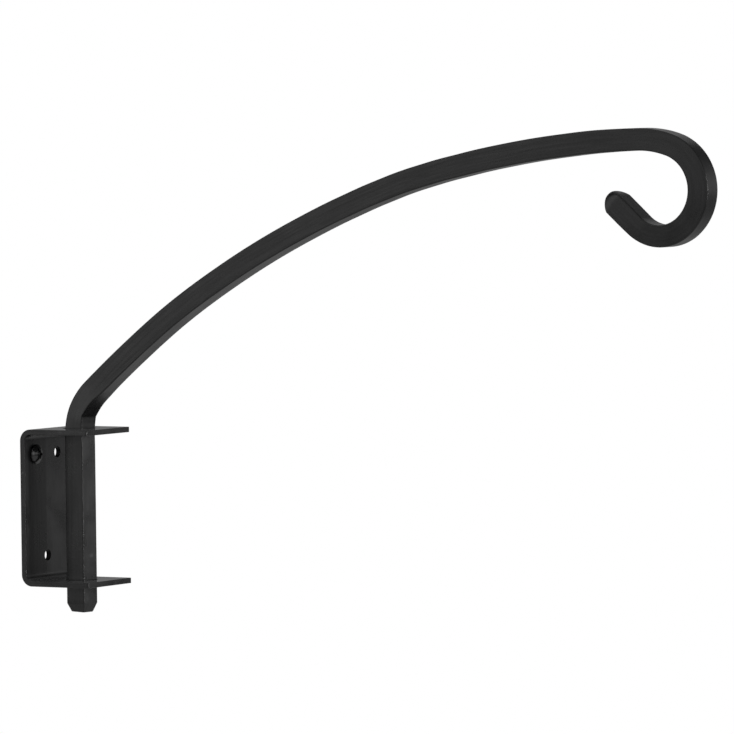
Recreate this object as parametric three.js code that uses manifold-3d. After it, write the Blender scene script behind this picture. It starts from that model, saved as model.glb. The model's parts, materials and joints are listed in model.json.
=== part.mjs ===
// Plant hanger: a bent strip bracket on the wall, a swivelling arm of square bar, and a mounting screw.
// Millimetres. +X points out from the wall along the arm, +Z up. The origin is the middle of the
// bracket's back face, which lies against the wall.
import * as THREE from 'three';
import { mergeVertices } from 'three/addons/utils/BufferGeometryUtils.js';
import Module from 'manifold-3d';

const wasm = await Module();
wasm.setup();

// Bracket: one steel strip, bent twice into a back plate with an ear above and below
const stripWidth = 44;
const stripThickness = 3;
const bracketHeight = 87;
const earBeyondBar = 19; // from the bar's axis to the ears' front edges
const bendInsideRadius = 3.5;
const earCornerRadius = 1;

// Holes in the bracket
const barFromWall = 25;
const barClearance = 0.75; // between the straight bar's corners and the ears' round holes
const screwHoleDiameter = 6;
const upperHoleInset = 11; // from the plate's side edges to the two upper holes
const upperHoleDrop = 14.2;
const lowerHoleRise = 16;

// Arm: one square bar, bent through these angles in degrees
const barSide = 12;
const barEdgeRadius = 0.6;
const hookReach = 395.2; // from the wall to the middle of the curl, where a pot's ring hangs
const footBelowBracket = 15;
const seatClearance = 0.45; // between the elbow and the upper hole's rim, which carries it
const elbowRadius = 34.5;
const elbowAngle = 47.7;
const sweepAngle = 41;
const shoulderRadius = 57;
const shoulderAngle = 19.7;
const crownRadius = 25;
const crownAngle = 121.4;
const curlRadius = 22.5;
const curlAngle = 82;
const tipLength = 24;

// The foot is drawn down on all four sides
const taperLength = 5;
const taperInset = 1.6;
const taperEdgeRadius = 0.8;

// The tip is rounded off to a blunt nose. Its share is of the half side that is left along it.
const noseLength = 7.2;
const noseEndSide = 2;
const noseEdgeShare = 0.6;

// Mounting screw: a round head with a cross recess and a short shank
const headOverlap = 2.4; // how far the head covers the plate round its hole
const headHeight = 3.6;
const headRimHeight = 0.9;
const shankClearance = 0.5;
const screwLength = 8;
const shankChamfer = 0.6;
const recessSpan = 5.2;
const recessWidth = 1.3;
const recessDepth = 1.9;
const headClearance = 0.1;

// Fineness of the curved faces
const chordError = 0.05;
const edgeFacets = 2;
const bendFacets = 8;
const noseFacets = 6;
const holeFacets = 48;
const domeRings = 6;
const overrun = 1;

const halfWidth = stripWidth / 2;
const halfHeight = bracketHeight / 2;
const upperHoleOffset = halfWidth - upperHoleInset;
const earLength = barFromWall + earBeyondBar;
const bendOutsideRadius = bendInsideRadius + stripThickness;
const halfBar = barSide / 2;
const cornerReach = halfBar * Math.SQRT2 - barEdgeRadius * (Math.SQRT2 - 1);
const barHoleRadius = cornerReach + barClearance;

const blackSteel = () => new THREE.MeshStandardMaterial({ color: 0x2b2b2d, roughness: 0.55, metalness: 0.3 });
const blackScrew = () => new THREE.MeshStandardMaterial({ color: 0x0c0c0d, roughness: 0.18, metalness: 0.4 });

function solidOf(geometry) {
  geometry.deleteAttribute('normal');
  geometry.deleteAttribute('uv');
  const merged = mergeVertices(geometry);
  const vertProperties = new Float32Array(merged.attributes.position.array);
  const triVerts = new Uint32Array(merged.index.array);
  return new wasm.Manifold(new wasm.Mesh({ numProp: 3, vertProperties, triVerts }));
}

function meshOf(solid, name, material) {
  const { vertProperties, triVerts } = solid.getMesh();
  const geometry = new THREE.BufferGeometry();
  geometry.setAttribute('position', new THREE.BufferAttribute(new Float32Array(vertProperties), 3));
  geometry.setIndex(new THREE.BufferAttribute(new Uint32Array(triVerts), 1));
  geometry.computeVertexNormals();
  const mesh = new THREE.Mesh(geometry, material);
  mesh.name = name;
  return mesh;
}

// The bracket seen from the side: x out from the wall, y up
function bracketProfile() {
  const upperBend = halfHeight - bendOutsideRadius;
  const lowerBend = -upperBend;
  const quarter = Math.PI / 2;
  const profile = new THREE.Shape();
  profile.moveTo(earLength, halfHeight);
  profile.lineTo(bendOutsideRadius, halfHeight);
  profile.absarc(bendOutsideRadius, upperBend, bendOutsideRadius, quarter, 2 * quarter, false);
  profile.lineTo(0, lowerBend);
  profile.absarc(bendOutsideRadius, lowerBend, bendOutsideRadius, 2 * quarter, 3 * quarter, false);
  profile.lineTo(earLength, -halfHeight);
  profile.lineTo(earLength, -halfHeight + stripThickness);
  profile.lineTo(bendOutsideRadius, -halfHeight + stripThickness);
  profile.absarc(bendOutsideRadius, lowerBend, bendInsideRadius, 3 * quarter, 2 * quarter, true);
  profile.lineTo(stripThickness, upperBend);
  profile.absarc(bendOutsideRadius, upperBend, bendInsideRadius, 2 * quarter, quarter, true);
  profile.lineTo(earLength, halfHeight - stripThickness);
  profile.closePath();
  return profile;
}

// The strip's outline seen from above, with the ears' front corners rounded
function earOutline() {
  const cornerX = earLength - earCornerRadius;
  const cornerY = halfWidth - earCornerRadius;
  const outline = new THREE.Shape();
  outline.moveTo(0, -halfWidth);
  outline.lineTo(cornerX, -halfWidth);
  outline.absarc(cornerX, -cornerY, earCornerRadius, -Math.PI / 2, 0, false);
  outline.lineTo(earLength, cornerY);
  outline.absarc(cornerX, cornerY, earCornerRadius, 0, Math.PI / 2, false);
  outline.lineTo(0, halfWidth);
  outline.closePath();
  return outline;
}

// A round cutter through the back plate, along X
function screwHoleCutter(y, z) {
  const length = stripThickness + 2 * overrun;
  const radius = screwHoleDiameter / 2;
  const cutter = new THREE.CylinderGeometry(radius, radius, length, holeFacets);
  cutter.rotateZ(Math.PI / 2);
  cutter.translate(stripThickness / 2, y, z);
  return solidOf(cutter);
}

function wallBracket() {
  const strip = new THREE.ExtrudeGeometry(bracketProfile(), {
    depth: stripWidth,
    curveSegments: bendFacets,
    bevelEnabled: false,
  });
  strip.rotateX(Math.PI / 2);
  strip.translate(0, halfWidth, 0);
  const plan = new THREE.ExtrudeGeometry(earOutline(), {
    depth: bracketHeight + 2 * overrun,
    curveSegments: bendFacets,
    bevelEnabled: false,
  });
  plan.translate(0, 0, -halfHeight - overrun);

  const barHoles = new THREE.CylinderGeometry(
    barHoleRadius,
    barHoleRadius,
    bracketHeight + 2 * overrun,
    holeFacets,
  );
  barHoles.rotateX(Math.PI / 2);
  barHoles.translate(barFromWall, 0, 0);

  const upperHoles = halfHeight - upperHoleDrop;
  const solid = solidOf(strip)
    .intersect(solidOf(plan))
    .subtract(solidOf(barHoles))
    .subtract(screwHoleCutter(-upperHoleOffset, upperHoles))
    .subtract(screwHoleCutter(upperHoleOffset, upperHoles))
    .subtract(screwHoleCutter(0, lowerHoleRise - halfHeight));
  return meshOf(solid, 'wall_bracket', blackSteel());
}

// A square with rounded edges, as points across and outward
function barSection(half, edgeRadius) {
  const flat = half - edgeRadius;
  const corners = [[flat, flat], [-flat, flat], [-flat, -flat], [flat, -flat]];
  return corners.flatMap(([across, outward], corner) => {
    const points = [];
    for (let i = 0; i <= edgeFacets; i += 1) {
      const angle = (corner + i / edgeFacets) * Math.PI / 2;
      points.push([across + edgeRadius * Math.cos(angle), outward + edgeRadius * Math.sin(angle)]);
    }
    return points;
  });
}

// How far below the top of the upper ear the elbow starts to bend, so that its outer corners come
// to the seat clearance from the hole's rim just at the ear's top
function seatDepth() {
  const cornerOffset = cornerReach / Math.SQRT2;
  const shift = Math.sqrt((barHoleRadius - seatClearance) ** 2 - cornerOffset ** 2) - cornerOffset;
  const innerRadius = elbowRadius - halfBar;
  return Math.sqrt(innerRadius ** 2 - (innerRadius - shift) ** 2);
}

// The sweep's radius, which brings the middle of the curl to the hook's reach. Each bend takes the bar
// outward by its radius times the change in the cosine of the heading.
function sweepRadius() {
  const cosine = (degrees) => Math.cos(THREE.MathUtils.degToRad(degrees));
  const afterElbow = cosine(elbowAngle);
  const afterSweep = cosine(elbowAngle + sweepAngle);
  const afterShoulder = cosine(elbowAngle + sweepAngle + shoulderAngle);
  const afterCrown = cosine(elbowAngle + sweepAngle + shoulderAngle + crownAngle);
  const otherBends = elbowRadius * (1 - afterElbow)
    + shoulderRadius * (afterSweep - afterShoulder)
    + crownRadius * (afterShoulder - afterCrown)
    + curlRadius * afterCrown;
  return (hookReach - barFromWall - otherBends) / (afterElbow - afterSweep);
}

// Stations along the bar's centre line, from the foot to the tip. The heading is 0 straight up and
// grows as the bar bends out and over.
function armStations() {
  const stations = [];
  const pen = { x: barFromWall, z: -halfHeight - footBelowBracket, heading: 0 };
  const mark = (half = halfBar, edgeRadius = barEdgeRadius) => {
    stations.push({ ...pen, half, edgeRadius });
  };
  const straight = (length) => {
    pen.x += length * Math.sin(pen.heading);
    pen.z += length * Math.cos(pen.heading);
  };
  const bend = (radius, degrees) => {
    const turn = THREE.MathUtils.degToRad(degrees);
    const widest = 2 * Math.acos(1 - chordError / (radius + halfBar));
    const steps = Math.ceil(turn / widest);
    for (let i = 0; i < steps; i += 1) {
      const next = pen.heading + turn / steps;
      pen.x += radius * (Math.cos(pen.heading) - Math.cos(next));
      pen.z += radius * (Math.sin(next) - Math.sin(pen.heading));
      pen.heading = next;
      mark();
    }
  };

  mark(halfBar - taperInset - taperEdgeRadius);
  straight(taperEdgeRadius);
  mark(halfBar - taperInset);
  straight(taperLength - taperEdgeRadius);
  mark();
  straight(footBelowBracket + bracketHeight - seatDepth() - taperLength);
  mark();
  bend(elbowRadius, elbowAngle);
  bend(sweepRadius(), sweepAngle);
  bend(shoulderRadius, shoulderAngle);
  bend(crownRadius, crownAngle);
  bend(curlRadius, curlAngle);
  straight(tipLength - noseLength);
  mark();
  // The nose is a quarter of an ellipse seen from any side
  for (let i = 1; i <= noseFacets; i += 1) {
    const before = (i - 1) / noseFacets * Math.PI / 2;
    const angle = i / noseFacets * Math.PI / 2;
    straight(noseLength * (Math.sin(angle) - Math.sin(before)));
    const half = noseEndSide / 2 + (halfBar - noseEndSide / 2) * Math.cos(angle);
    mark(half, barEdgeRadius * Math.cos(angle) + noseEdgeShare * half * Math.sin(angle));
  }
  return stations;
}

// The bar: its section carried along the stations, with a small flat at each end
function hangerArm() {
  const stations = armStations();
  const positions = [];
  for (const { x, z, heading, half, edgeRadius } of stations) {
    for (const [across, outward] of barSection(half, edgeRadius)) {
      positions.push(x - outward * Math.cos(heading), across, z + outward * Math.sin(heading));
    }
  }
  const around = barSection(halfBar, barEdgeRadius).length;
  const index = [];
  for (let ring = 0; ring + 1 < stations.length; ring += 1) {
    for (let i = 0; i < around; i += 1) {
      const a = ring * around + i;
      const b = ring * around + (i + 1) % around;
      index.push(a, b, a + around, b, b + around, a + around);
    }
  }
  const last = (stations.length - 1) * around;
  for (let i = 1; i + 1 < around; i += 1) {
    index.push(0, i + 1, i);
    index.push(last, last + i, last + i + 1);
  }
  const geometry = new THREE.BufferGeometry();
  geometry.setAttribute('position', new THREE.Float32BufferAttribute(positions, 3));
  geometry.setIndex(index);
  geometry.computeVertexNormals();
  const mesh = new THREE.Mesh(geometry, blackSteel());
  mesh.name = 'hanger_arm';
  return mesh;
}

// The screw's outline from the shank's end to the middle of the head, as radius and height
function screwProfile() {
  const headRadius = screwHoleDiameter / 2 + headOverlap;
  const shankRadius = screwHoleDiameter / 2 - shankClearance;
  const rise = headHeight - headRimHeight;
  const domeRadius = (headRadius ** 2 + rise ** 2) / (2 * rise);
  const domeAngle = Math.asin(headRadius / domeRadius);
  const points = [
    new THREE.Vector2(0, -screwLength),
    new THREE.Vector2(shankRadius - shankChamfer, -screwLength),
    new THREE.Vector2(shankRadius, -screwLength + shankChamfer),
    new THREE.Vector2(shankRadius, 0),
    new THREE.Vector2(headRadius, 0),
  ];
  for (let i = 0; i <= domeRings; i += 1) {
    const angle = domeAngle * (1 - i / domeRings);
    const height = headHeight - domeRadius + domeRadius * Math.cos(angle);
    points.push(new THREE.Vector2(domeRadius * Math.sin(angle), height));
  }
  return points;
}

function mountingScrew() {
  const body = new THREE.LatheGeometry(screwProfile(), holeFacets);
  const slotHeight = recessDepth + overrun;
  const slotLevel = headHeight - recessDepth + slotHeight / 2;
  const slots = [[recessSpan, recessWidth], [recessWidth, recessSpan]].map(([across, along]) => {
    const slot = new THREE.BoxGeometry(across, slotHeight, along);
    slot.translate(0, slotLevel, 0);
    return solidOf(slot);
  });
  const solid = solidOf(body).subtract(slots[0].add(slots[1]));
  const mesh = meshOf(solid, 'mounting_screw', blackScrew());
  mesh.geometry.rotateZ(-Math.PI / 2);
  mesh.position.set(
    stripThickness + headClearance,
    -upperHoleOffset,
    halfHeight - upperHoleDrop,
  );
  return mesh;
}

const plantHanger = new THREE.Group();
plantHanger.add(wallBracket(), hangerArm(), mountingScrew());

export default plantHanger;
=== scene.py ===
"""A swivel plant hanger in black powder coat: a bracket of bent strip, an arm of square bar that turns in
it, and one glossy screw. Lengths of its shapes are written in millimetres and taken to metres once, where a
mesh is made."""
import json

import bpy
import numpy as np
from mathutils import Matrix, Vector


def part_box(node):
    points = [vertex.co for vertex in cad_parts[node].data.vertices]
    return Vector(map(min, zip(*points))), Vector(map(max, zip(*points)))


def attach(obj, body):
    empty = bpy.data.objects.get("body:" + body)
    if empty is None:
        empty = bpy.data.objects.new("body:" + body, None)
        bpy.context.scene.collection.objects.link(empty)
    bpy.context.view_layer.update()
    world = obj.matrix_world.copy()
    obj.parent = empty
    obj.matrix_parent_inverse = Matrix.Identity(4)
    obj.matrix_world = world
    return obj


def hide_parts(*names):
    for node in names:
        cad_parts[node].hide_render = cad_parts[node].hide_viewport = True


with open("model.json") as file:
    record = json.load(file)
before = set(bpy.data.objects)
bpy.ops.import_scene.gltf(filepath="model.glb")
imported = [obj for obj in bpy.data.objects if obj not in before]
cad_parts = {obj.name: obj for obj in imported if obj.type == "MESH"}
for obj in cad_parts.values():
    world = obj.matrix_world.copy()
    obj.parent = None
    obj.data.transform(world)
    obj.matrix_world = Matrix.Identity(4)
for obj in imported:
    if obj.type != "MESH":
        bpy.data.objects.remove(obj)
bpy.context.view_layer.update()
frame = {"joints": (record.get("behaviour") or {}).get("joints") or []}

MM = 0.001

# Far below any size here, for comparing numbers
TINY = 1e-6


def box_mm(node_name):
    """A node's lowest and highest corners in millimetres."""
    return [np.array(corner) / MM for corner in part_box(node_name)]


# What the frame gives
BRACKET_LOW, BRACKET_HIGH = box_mm("wall_bracket")
ARM_LOW, ARM_HIGH = box_mm("hanger_arm")
SCREW_LOW, SCREW_HIGH = box_mm("mounting_screw")
BAR_AXIS_X = frame["joints"][0]["pos_m"][0] / MM
HALF_HEIGHT = BRACKET_HIGH[2]
HALF_WIDTH = BRACKET_HIGH[1]
EAR_LENGTH = BRACKET_HIGH[0]
HALF_BAR = ARM_HIGH[1]
FOOT_BELOW_BRACKET = BRACKET_LOW[2] - ARM_LOW[2]

# Bracket strip
STRIP_THICKNESS = 3.0
BEND_INSIDE_RADIUS = 3.5
EAR_CORNER_RADIUS = 1.0
OUTLINE_RIM_RADIUS = 0.3
BAR_HOLE_RIM_RADIUS = 0.45
SCREW_HOLE_RIM_RADIUS = 0.15
BAR_CLEARANCE = 0.75
SCREW_HOLE_RADIUS = 3.0
UPPER_HOLE_DROP = 14.2
LOWER_HOLE_RISE = 16.0

# Arm, from the foot to the tip
BAR_EDGE_RADIUS = 0.6
SEAT_CLEARANCE = 0.45
HOOK_REACH = 395.2
ELBOW_RADIUS, ELBOW_ANGLE = 34.5, 47.7
SWEEP_ANGLE = 41.0
SHOULDER_RADIUS, SHOULDER_ANGLE = 57.0, 19.7
CROWN_RADIUS, CROWN_ANGLE = 25.0, 121.4
CURL_RADIUS, CURL_ANGLE = 22.5, 82.0
TIP_LENGTH = 24.0
TAPER_LENGTH = 5.0
TAPER_INSET = 1.6
FOOT_RIM_RADIUS = 0.5
FOOT_SAW_RISE = 0.35
NOSE_LENGTH = 7.2
NOSE_END_HALF = 1.0
NOSE_EDGE_SHARE = 0.85

# Sections on the flat ends of foot and nose, as shares of the flat's half side
FOOT_FACE_SHARES = np.array([0.25, 0.6])
NOSE_FACE_SHARES = np.array([0.7, 0.35])

# What bending does to the bar: it thins the bend, swells its inside and spreads over a short length
BEND_THINNING = 0.8
BEND_SWELL = 0.22
BEND_BLEND = 6.0

# How far the hand-bent centre line lies outside its plain arcs: distance from the foot, and shift
HAND_BENT = np.array([
    [92, -0.39], [112, 0.3], [130, 0.1], [160, 0], [195, 0.27], [240, 0], [290, -0.05], [320, 0.16],
    [340, 0.45], [360, 0.68], [380, 0.44], [400, 0.07], [430, -0.16], [460, -0.2], [480, 0],
], float)

# How far the bar is twisted about its own line, in degrees, and how deep the elbow's inside is pressed in,
# both by distance from the foot
HAND_TWIST = np.array([[100, 5.5], [112, 7], [120, 6], [138, 0]], float)
PRESSED_IN = np.array([
    [102, 0], [105, 0.1], [108, 0.4], [110.7, 0.87], [113, 0.52],
    [115, 0.35], [118, 0.2], [122, 0.08], [128, 0],
], float)

# What the coat adds to each side of the bar, by distance from the foot
COAT_BUILD = np.array([[480, 0.12], [500, 0.02], [515, 0.02], [535, 0.12]], float)

# Screw
HEAD_HEIGHT = 3.6
HEAD_RIM_HEIGHT = 0.9
HEAD_EDGE_RADIUS = 0.35
SHANK_RADIUS = 2.5
PLAIN_NECK = 0.8
THREAD_PITCH = 1.6
THREAD_DEPTH = 0.45
RECESS_SPAN = 5.2
RECESS_WIDTH = 1.3
RECESS_DEPTH = 1.9
RECESS_SIDE_LEAN = 0.16
RECESS_END_LEAN = 0.5
NECK_FILLET = 0.3
NECK_RUN = 0.6
THREAD_NARROWNESS = 2.6
THREAD_FADE = 0.8
TIP_RUN = 0.5

# The head's underside as heights over the plate and ways in from its rim, and the blunt tip as ways back
# from the end and radii
UNDER_HEAD = np.array([[0.35, 0.0], [0.08, 0.12], [0.0, 0.35]])
BLUNT_TIP = np.array([[0.15, 1.6], [0.0, 1.0], [0.0, 0.4]])

# How fine the meshes are: steps in millimetres, and counts of steps, rings or points. The bar's sections lie
# closest in runs of BEND_CURVATURE or more, and keep STATION_GAP from those of the foot and the nose. The
# head's rings lie closest from the innermost one out to RECESS_REACH
GRID_STEP, FINE_GRID_STEP = 1.0, 0.25
SHEET_RIM_STEPS, FOOT_STEPS, NOSE_STEPS = 4, 6, 14
SIDE_STEPS, CORNER_STEPS = 6, 6
STRAIGHT_STEP, SWEEP_STEP, BEND_STEP = 4.0, 2.5, 0.8
BEND_CURVATURE = 1 / 200
STATION_GAP = 0.5
POINTS_ROUND_SCREW = 256
INNERMOST_RING, RECESS_REACH = 0.02, 0.62 * RECESS_SPAN
RECESS_RINGS, DOME_RINGS, HEAD_EDGE_RINGS, THREAD_RINGS = 60, 14, 7, 90
FLOOR_POINTS = 96

# Rubbed edges: the mark from which a point counts as on an edge. A sharp edge is marked 1
WEAR_FROM = 0.6

CORNER_REACH = HALF_BAR * np.sqrt(2) - BAR_EDGE_RADIUS * (np.sqrt(2) - 1)
BAR_HOLE_RADIUS = CORNER_REACH + BAR_CLEARANCE


def unit(vectors):
    """Vectors scaled to length one along the last axis."""
    return vectors / np.linalg.norm(vectors, axis=-1, keepdims=True)


def ring_quads(lower, upper):
    """Quads between two closed rings of point numbers, or two stacks of such rings, lower to upper."""
    quads = np.stack([lower, np.roll(lower, -1, -1), np.roll(upper, -1, -1), upper], axis=-1)
    return quads.reshape(-1, 4)


def outward(points, faces):
    """Blocks of faces, all turned over if the closed mesh they make has a negative volume. Six times the
    volume is the sum of a . (b x c) over the triangles that fan out from each face's first corner."""
    volume = 0.0
    for block in faces:
        for second in range(1, block.shape[1] - 1):
            a, b, c = (points[block[:, corner]] for corner in (0, second, second + 1))
            volume += np.einsum("ij,ij->", a, np.cross(b, c))
    return faces if volume > 0 else [block[:, ::-1] for block in faces]


def closed_tube(rings, first_pole, last_pole):
    """Points and faces of a stack of rings (ring, point, xyz), joined by quads and closed by a fan of
    triangles to a pole at each end."""
    number = np.arange(rings.shape[0] * rings.shape[1]).reshape(rings.shape[:2])
    points = np.concatenate([rings.reshape(-1, 3), [first_pole, last_pole]])
    fans = [np.stack([np.roll(number[0], -1), number[0], np.full_like(number[0], number.size)], -1),
            np.stack([number[-1], np.roll(number[-1], -1), np.full_like(number[0], number.size + 1)], -1)]
    return points, outward(points, [ring_quads(number[:-1], number[1:]), *fans])


def make_piece(name, points, faces, body, replaced, slot, **marks):
    """A smooth mesh piece from points in millimetres and blocks of faces, riding on a body in place of a CAD
    node. marks are kept as point attributes for the finishes: a number or a place for every point.
    The attribute upward is how far each point's normal looks up, 0 to 1."""
    mesh = bpy.data.meshes.new(name)
    mesh.from_pydata((points * MM).tolist(), [], sum((block.tolist() for block in faces), []))
    mesh.update()
    mesh.polygons.foreach_set("use_smooth", np.ones(len(mesh.polygons), bool))
    normals = np.empty(3 * len(points), np.float32)
    mesh.vertices.foreach_get("normal", normals)
    marks["upward"] = np.clip(normals.reshape(-1, 3)[:, 2], 0, 1)
    for label, values in marks.items():
        kind, field = ("FLOAT", "value") if values.ndim == 1 else ("FLOAT_VECTOR", "vector")
        layer = mesh.attributes.new(label, kind, "POINT")
        layer.data.foreach_set(field, values.astype(np.float32).ravel())
    piece = bpy.data.objects.new(name, mesh)
    bpy.context.scene.collection.objects.link(piece)
    weighted = piece.modifiers.new("face_weighted_normals", "WEIGHTED_NORMAL")
    weighted.keep_sharp = True
    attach(piece, body)
    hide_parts(replaced)
    return piece


# Bracket

NEUTRAL_RADIUS = BEND_INSIDE_RADIUS + STRIP_THICKNESS / 2
OUTSIDE_RADIUS = BEND_INSIDE_RADIUS + STRIP_THICKNESS
EAR_RUN = EAR_LENGTH - OUTSIDE_RADIUS
BEND_RUN = NEUTRAL_RADIUS * np.pi / 2
PLATE_RUN = 2 * (HALF_HEIGHT - OUTSIDE_RADIUS)
STRIP_RUNS = np.cumsum([0, EAR_RUN, BEND_RUN, PLATE_RUN, BEND_RUN, EAR_RUN])

# Half sides of the squares that the sheet's grid leaves free round its holes
BAR_HOLE_SQUARE = 12.0
SCREW_HOLE_SQUARE = 5.0


def bent_strip(along, across, height):
    """Where a point of the flat strip goes when the strip is bent. along starts at the upper ear's front
    edge, across is world Y, and height goes from the middle of the thickness to the outside of the bends.
    Ears and plate are planes. In a bend a point lies at (r cos a, r sin a) from the bend's centre, where r
    is the neutral radius plus height, and a grows by a quarter turn while along goes through the bend."""
    bend_z = HALF_HEIGHT - OUTSIDE_RADIUS
    upper = (along - STRIP_RUNS[1]) / NEUTRAL_RADIUS + np.pi / 2
    lower = (along - STRIP_RUNS[3]) / NEUTRAL_RADIUS + np.pi
    radius = NEUTRAL_RADIUS + height
    runs = [along < end for end in STRIP_RUNS[1:5]]
    x = np.select(runs, [
        EAR_LENGTH - along,
        OUTSIDE_RADIUS + radius * np.cos(upper),
        OUTSIDE_RADIUS - radius,
        OUTSIDE_RADIUS + radius * np.cos(lower),
    ], OUTSIDE_RADIUS + along - STRIP_RUNS[4])
    z = np.select(runs, [
        bend_z + radius,
        bend_z + radius * np.sin(upper),
        bend_z - (along - STRIP_RUNS[2]),
        -bend_z + radius * np.sin(lower),
    ], -bend_z - radius)
    return np.stack([x, across, z], axis=-1)


def spread_lines(marks, fine_runs):
    """Grid lines through every mark, evenly spaced between them by at most the grid's step, and by at most
    the fine one inside the fine runs."""
    lines = [np.array(marks[:1], float)]
    for start, end in zip(marks[:-1], marks[1:]):
        fine = any(start >= low - TINY and end <= high + TINY for low, high in fine_runs)
        step = FINE_GRID_STEP if fine else GRID_STEP
        count = max(1, int(np.ceil((end - start) / step - TINY)))
        lines.append(np.linspace(start, end, count + 1)[1:])
    return np.concatenate(lines)


def round_corners(grid, length, half_width, corner):
    """The flat grid with its four outer corners rounded, by the map of the unit square to the unit disc:
    a * sqrt(1 - b * b / 2)."""
    along, across = grid[..., 0], grid[..., 1]
    for edge, sign in ((corner, -1), (length - corner, 1)):
        for side in (-1, 1):
            a = (along - edge) * sign / corner
            b = (across * side - (half_width - corner)) / corner
            inside = (a > 0) & (b > 0)
            round_a = a * np.sqrt(np.clip(1 - b * b / 2, 0, 1))
            round_b = b * np.sqrt(np.clip(1 - a * a / 2, 0, 1))
            along = np.where(inside, edge + sign * corner * round_a, along)
            across = np.where(inside, side * (half_width - corner + corner * round_b), across)
    return np.stack([along, across], axis=-1)


def flat_sheet(length, half_width, holes, corner):
    """A flat sheet as points (along, across), quads, its outline loop and one loop for each hole.
    The sheet is a grid. Round each hole (along, across, radius, half) a square of the grid is left out, and
    rings run from the hole's circle to the square's edge, in even shares of the way between the two."""
    marks_along = {0.0, corner, length - corner, length, *STRIP_RUNS[1:5].tolist()}
    marks_across = {-half_width, -half_width + corner, half_width - corner, half_width}
    for along, across, _, half in holes:
        marks_along |= {along - half, along + half}
        marks_across |= {across - half, across + half}
    rows = spread_lines(sorted(marks_along), [
        (0, corner), STRIP_RUNS[1:3], STRIP_RUNS[3:5], (length - corner, length)])
    columns = spread_lines(sorted(marks_across), [
        (-half_width, -half_width + corner), (half_width - corner, half_width)])
    grid = np.stack(np.meshgrid(rows, columns, indexing="ij"), axis=-1)
    number = np.arange(rows.size * columns.size).reshape(rows.size, columns.size)
    points = [round_corners(grid, length, half_width, corner).reshape(-1, 2)]
    filled = np.ones((rows.size - 1, columns.size - 1), bool)
    quads, loops = [], []
    total = number.size
    for along, across, radius, half in holes:
        i0, i1 = np.searchsorted(rows, [along - half - TINY, along + half - TINY])
        j0, j1 = np.searchsorted(columns, [across - half - TINY, across + half - TINY])
        filled[i0:i1, j0:j1] = False
        border = np.concatenate([
            number[i0:i1, j0], number[i1, j0:j1], number[i1:i0:-1, j1], number[i0, j1:j0:-1]])
        outer = points[0][border]
        centre = np.array([along, across])
        circle = centre + radius * unit(outer - centre)
        shares = np.linspace(0, 1, max(3, int((half - radius) / GRID_STEP) + 1))[:-1]
        rings = circle + shares[:, None, None] * (outer - circle)
        points.append(rings.reshape(-1, 2))
        ring_numbers = total + np.arange(rings[..., 0].size).reshape(rings.shape[:2])
        total += ring_numbers.size
        stack = np.concatenate([ring_numbers, border[None]])
        quads.append(ring_quads(stack[:-1], stack[1:]))
        loops.append(ring_numbers[0])
    i, j = np.nonzero(filled)
    quads.append(np.stack([number[i, j], number[i, j + 1], number[i + 1, j + 1], number[i + 1, j]], axis=1))
    outline = np.concatenate([number[:-1, 0], number[-1, :-1], number[:0:-1, -1], number[0, :0:-1]])
    return np.concatenate(points), np.concatenate(quads), outline, loops


def thick_sheet(points, quads, rims, thickness):
    """A flat sheet given its thickness: two faces, and along each rim (loop, sign, radius) a quarter circle,
    a straight wall and a quarter circle that stand out from the loop along its own normal. At turn t of the
    quarter circle they stand out by radius * sin(t) and lie radius * (1 - cos(t)) below the face.
    Gives points (along, across, height), quads, 1 on the rims, and 1 on the walls of the holes."""
    half = thickness / 2
    count = len(points)
    solid = [np.column_stack([points, np.full(count, side)]) for side in (half, -half)]
    faces = [quads[:, ::-1], quads + count]
    edge = np.zeros(2 * count)
    bores = [np.zeros(2 * count)]
    total = 2 * count
    turn = np.linspace(0, np.pi / 2, SHEET_RIM_STEPS + 1)[1:]
    for loop, sign, radius in rims:
        tangent = unit(np.roll(points[loop], -1, axis=0) - np.roll(points[loop], 1, axis=0))
        normal = sign * np.stack([tangent[:, 1], -tangent[:, 0]], axis=1)
        stand_out = radius * np.concatenate([np.sin(turn), np.sin(turn)[::-1]])
        drop = radius * (1 - np.cos(turn))
        heights = np.concatenate([half - drop, -half + drop[::-1]])
        walls = points[loop] + stand_out[:, None, None] * normal
        wall_heights = np.tile(heights[:, None, None], (1, len(loop), 1))
        solid.append(np.concatenate([walls, wall_heights], axis=-1).reshape(-1, 3))
        numbers = total + np.arange(walls[..., 0].size).reshape(walls.shape[:2])
        total += numbers.size
        stack = np.concatenate([loop[None], numbers, loop[None] + count])
        joined = ring_quads(stack[:-1], stack[1:])
        faces.append(joined[:, ::-1] if sign > 0 else joined)
        edge[loop] = edge[loop + count] = WEAR_FROM
        bores.append(np.full(numbers.size, float(sign < 0)))
    edge = np.concatenate([edge, np.ones(total - 2 * count)])
    return np.concatenate(solid), np.concatenate(faces), edge, np.concatenate(bores)


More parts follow.
